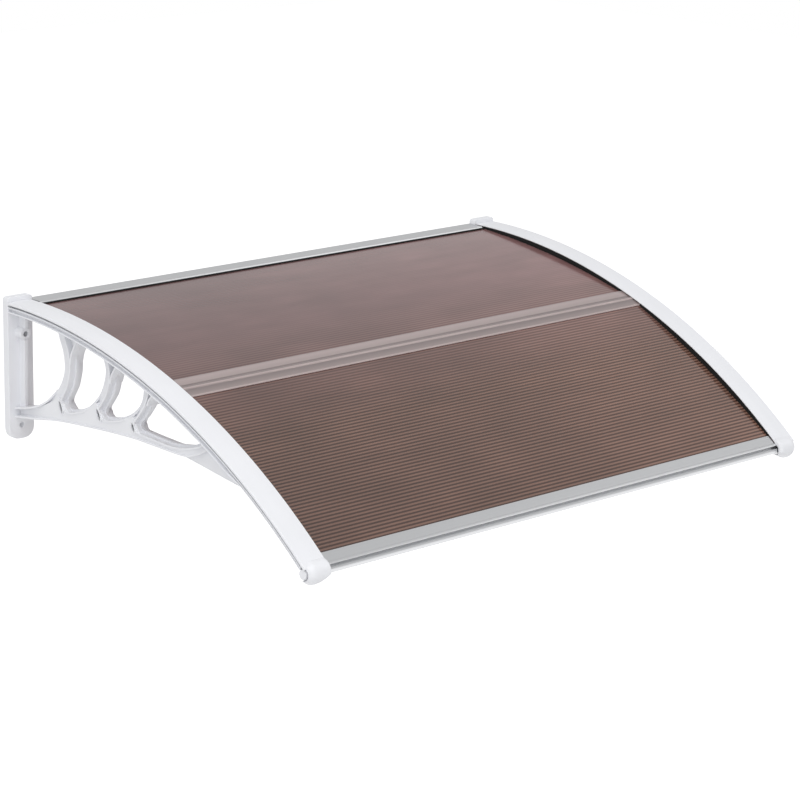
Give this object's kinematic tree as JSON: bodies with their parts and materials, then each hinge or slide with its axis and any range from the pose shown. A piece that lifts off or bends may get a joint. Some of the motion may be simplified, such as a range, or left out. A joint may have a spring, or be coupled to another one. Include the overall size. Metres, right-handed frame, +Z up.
{
  "type": "door canopy",
  "caption": "Curved door canopy: bronze twin-wall polycarbonate sheets in aluminium bars, carried by white moulded wall brackets with scrollwork and clamping covers.",
  "frame": {"origin": "on the wall, at the middle of the rear bar's back face", "axes": "X along the wall, -Y out from the wall, +Z up"},
  "size_m": [1, 0.7118, 0.2683],
  "materials": {
    "white_plastic": "satin",
    "aluminium": "satin anodised",
    "bronze_polycarbonate": "gloss, bronze tint",
    "clear_polycarbonate": "gloss, clear",
    "black_rubber": "matt"
  },
  "bodies": {
    "root": {"bracket_left": "white_plastic", "bracket_right": "white_plastic", "cover_left": "white_plastic", "cover_right": "white_plastic", "front_bar": "aluminium", "rear_bar": "aluminium", "front_panel": "bronze_polycarbonate", "rear_panel": "bronze_polycarbonate", "joint_profile": "clear_polycarbonate", "rear_seal": "black_rubber", "rear_side_seal_left": "black_rubber", "rear_side_seal_right": "black_rubber", "front_side_seal_left": "black_rubber", "front_side_seal_right": "black_rubber"}
  },
  "joints": []
}
